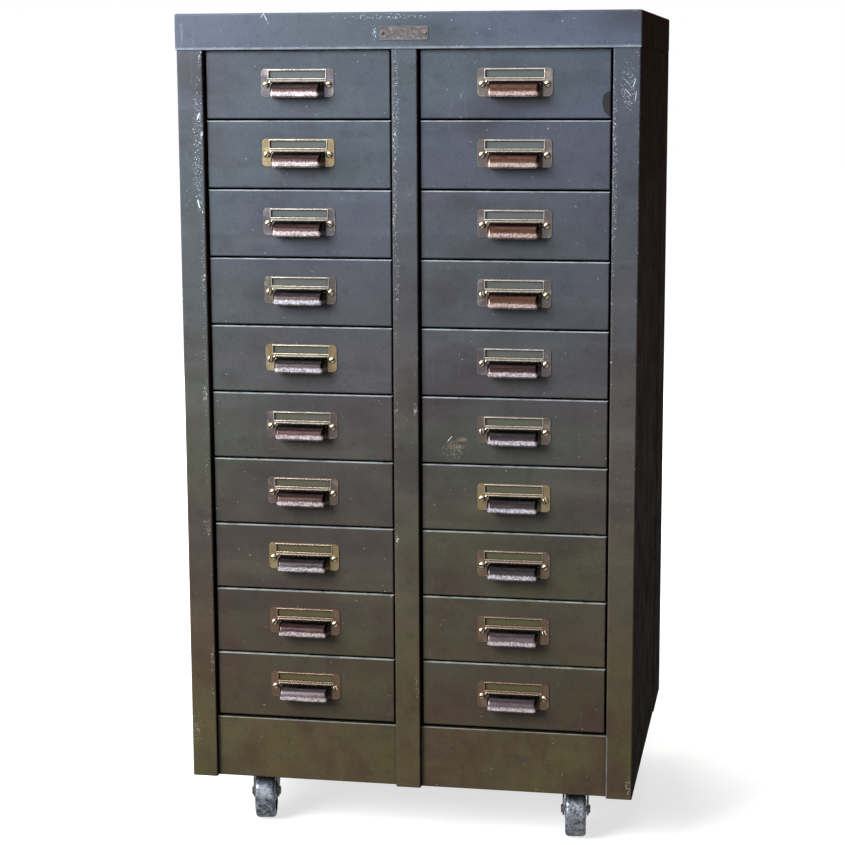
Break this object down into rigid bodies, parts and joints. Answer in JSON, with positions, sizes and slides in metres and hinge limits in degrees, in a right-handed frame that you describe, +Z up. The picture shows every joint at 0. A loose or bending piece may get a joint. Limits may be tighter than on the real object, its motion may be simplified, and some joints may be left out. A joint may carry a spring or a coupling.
{
  "type": "small metal drawer cabinet",
  "caption": "Upright sheet-steel drawer cabinet on swivel casters: two columns of shallow drawers with combined label-frame pulls, a folded top cap and a kick plate.",
  "frame": {"origin": "on the floor, under the middle of the overall size", "axes": "+X to the viewer's right, +Y from the drawer fronts to the back, +Z up"},
  "size_m": [0.613, 0.5346, 1.118],
  "materials": {
    "enamel": "worn dark grey-green enamel, satin",
    "pull_metal": "tarnished bronze plating, worn to bright metal on the hood",
    "name_plate": "dark tarnished bronze, bare",
    "bare_steel": "plain steel, greased",
    "caster_zinc": "dull zinc plate",
    "wheel_iron": "worn and pitted bare iron"
  },
  "bodies": {
    "cabinet": {"top_cap": "enamel", "left_side_panel": "enamel", "right_side_panel": "enamel", "centre_stile": "enamel", "kick_plate": "enamel", "back_panel": "enamel", "rear_corner_posts": "enamel", "base_pan": "enamel", "centre_partition": "enamel", "drawer_runners": "bare_steel", "name_plate": "name_plate", "caster_plates": "caster_zinc"},
    "left_drawer_01": {"drawer_l01": "enamel", "pull_l01": "pull_metal"},
    "left_drawer_02": {"drawer_l02": "enamel", "pull_l02": "pull_metal"},
    "left_drawer_03": {"drawer_l03": "enamel", "pull_l03": "pull_metal"},
    "left_drawer_04": {"drawer_l04": "enamel", "pull_l04": "pull_metal"},
    "left_drawer_05": {"drawer_l05": "enamel", "pull_l05": "pull_metal"},
    "left_drawer_06": {"drawer_l06": "enamel", "pull_l06": "pull_metal"},
    "left_drawer_07": {"drawer_l07": "enamel", "pull_l07": "pull_metal"},
    "left_drawer_08": {"drawer_l08": "enamel", "pull_l08": "pull_metal"},
    "left_drawer_09": {"drawer_l09": "enamel", "pull_l09": "pull_metal"},
    "left_drawer_10": {"drawer_l10": "enamel", "pull_l10": "pull_metal"},
    "right_drawer_01": {"drawer_r01": "enamel", "pull_r01": "pull_metal"},
    "right_drawer_02": {"drawer_r02": "enamel", "pull_r02": "pull_metal"},
    "right_drawer_03": {"drawer_r03": "enamel", "pull_r03": "pull_metal"},
    "right_drawer_04": {"drawer_r04": "enamel", "pull_r04": "pull_metal"},
    "right_drawer_05": {"drawer_r05": "enamel", "pull_r05": "pull_metal"},
    "right_drawer_06": {"drawer_r06": "enamel", "pull_r06": "pull_metal"},
    "right_drawer_07": {"drawer_r07": "enamel", "pull_r07": "pull_metal"},
    "right_drawer_08": {"drawer_r08": "enamel", "pull_r08": "pull_metal"},
    "right_drawer_09": {"drawer_r09": "enamel", "pull_r09": "pull_metal"},
    "right_drawer_10": {"drawer_r10": "enamel", "pull_r10": "pull_metal"},
    "front_left_fork": {"caster_fork_front_left": "caster_zinc"},
    "front_left_wheel": {"caster_wheel_front_left": "wheel_iron"},
    "front_right_fork": {"caster_fork_front_right": "caster_zinc"},
    "front_right_wheel": {"caster_wheel_front_right": "wheel_iron"},
    "rear_left_fork": {"caster_fork_rear_left": "caster_zinc"},
    "rear_left_wheel": {"caster_wheel_rear_left": "wheel_iron"},
    "rear_right_fork": {"caster_fork_rear_right": "caster_zinc"},
    "rear_right_wheel": {"caster_wheel_rear_right": "wheel_iron"}
  },
  "joints": [
    {"name": "left_drawer_01_slide", "type": "slide", "parent": "cabinet", "child": "left_drawer_01", "axis": [0, -1, 0], "range_m": [0, 0.38]},
    {"name": "left_drawer_02_slide", "type": "slide", "parent": "cabinet", "child": "left_drawer_02", "axis": [0, -1, 0], "range_m": [0, 0.38]},
    {"name": "left_drawer_03_slide", "type": "slide", "parent": "cabinet", "child": "left_drawer_03", "axis": [0, -1, 0], "range_m": [0, 0.38]},
    {"name": "left_drawer_04_slide", "type": "slide", "parent": "cabinet", "child": "left_drawer_04", "axis": [0, -1, 0], "range_m": [0, 0.38]},
    {"name": "left_drawer_05_slide", "type": "slide", "parent": "cabinet", "child": "left_drawer_05", "axis": [0, -1, 0], "range_m": [0, 0.38]},
    {"name": "left_drawer_06_slide", "type": "slide", "parent": "cabinet", "child": "left_drawer_06", "axis": [0, -1, 0], "range_m": [0, 0.38]},
    {"name": "left_drawer_07_slide", "type": "slide", "parent": "cabinet", "child": "left_drawer_07", "axis": [0, -1, 0], "range_m": [0, 0.38]},
    {"name": "left_drawer_08_slide", "type": "slide", "parent": "cabinet", "child": "left_drawer_08", "axis": [0, -1, 0], "range_m": [0, 0.38]},
    {"name": "left_drawer_09_slide", "type": "slide", "parent": "cabinet", "child": "left_drawer_09", "axis": [0, -1, 0], "range_m": [0, 0.38]},
    {"name": "left_drawer_10_slide", "type": "slide", "parent": "cabinet", "child": "left_drawer_10", "axis": [0, -1, 0], "range_m": [0, 0.38]},
    {"name": "right_drawer_01_slide", "type": "slide", "parent": "cabinet", "child": "right_drawer_01", "axis": [0, -1, 0], "range_m": [0, 0.38]},
    {"name": "right_drawer_02_slide", "type": "slide", "parent": "cabinet", "child": "right_drawer_02", "axis": [0, -1, 0], "range_m": [0, 0.38]},
    {"name": "right_drawer_03_slide", "type": "slide", "parent": "cabinet", "child": "right_drawer_03", "axis": [0, -1, 0], "range_m": [0, 0.38]},
    {"name": "right_drawer_04_slide", "type": "slide", "parent": "cabinet", "child": "right_drawer_04", "axis": [0, -1, 0], "range_m": [0, 0.38]},
    {"name": "right_drawer_05_slide", "type": "slide", "parent": "cabinet", "child": "right_drawer_05", "axis": [0, -1, 0], "range_m": [0, 0.38]},
    {"name": "right_drawer_06_slide", "type": "slide", "parent": "cabinet", "child": "right_drawer_06", "axis": [0, -1, 0], "range_m": [0, 0.38]},
    {"name": "right_drawer_07_slide", "type": "slide", "parent": "cabinet", "child": "right_drawer_07", "axis": [0, -1, 0], "range_m": [0, 0.38]},
    {"name": "right_drawer_08_slide", "type": "slide", "parent": "cabinet", "child": "right_drawer_08", "axis": [0, -1, 0], "range_m": [0, 0.38]},
    {"name": "right_drawer_09_slide", "type": "slide", "parent": "cabinet", "child": "right_drawer_09", "axis": [0, -1, 0], "range_m": [0, 0.38]},
    {"name": "right_drawer_10_slide", "type": "slide", "parent": "cabinet", "child": "right_drawer_10", "axis": [0, -1, 0], "range_m": [0, 0.38]},
    {"name": "front_left_swivel", "type": "hinge", "parent": "cabinet", "child": "front_left_fork", "pos_m": [-0.221, -0.16925, 0.088], "axis": [0, 0, 1], "continuous": true},
    {"name": "front_left_roll", "type": "hinge", "parent": "front_left_fork", "child": "front_left_wheel", "pos_m": [-0.21623, -0.19379, 0.0375], "axis": [0.9816, 0.1908, 0], "continuous": true},
    {"name": "front_right_swivel", "type": "hinge", "parent": "cabinet", "child": "front_right_fork", "pos_m": [0.221, -0.16925, 0.088], "axis": [0, 0, 1], "continuous": true},
    {"name": "front_right_roll", "type": "hinge", "parent": "front_right_fork", "child": "front_right_wheel", "pos_m": [0.22361, -0.19411, 0.0375], "axis": [0.9945, 0.1045, 0], "continuous": true},
    {"name": "rear_left_swivel", "type": "hinge", "parent": "cabinet", "child": "rear_left_fork", "pos_m": [-0.221, 0.18075, 0.088], "axis": [0, 0, 1], "continuous": true},
    {"name": "rear_left_roll", "type": "hinge", "parent": "rear_left_fork", "child": "rear_left_wheel", "pos_m": [-0.22491, 0.15606, 0.0375], "axis": [0.9877, -0.1564, 0], "continuous": true},
    {"name": "rear_right_swivel", "type": "hinge", "parent": "cabinet", "child": "rear_right_fork", "pos_m": [0.221, 0.18075, 0.088], "axis": [0, 0, 1], "continuous": true},
    {"name": "rear_right_roll", "type": "hinge", "parent": "rear_right_fork", "child": "rear_right_wheel", "pos_m": [0.22705, 0.15649, 0.0375], "axis": [0.9703, 0.2419, 0], "continuous": true}
  ]
}
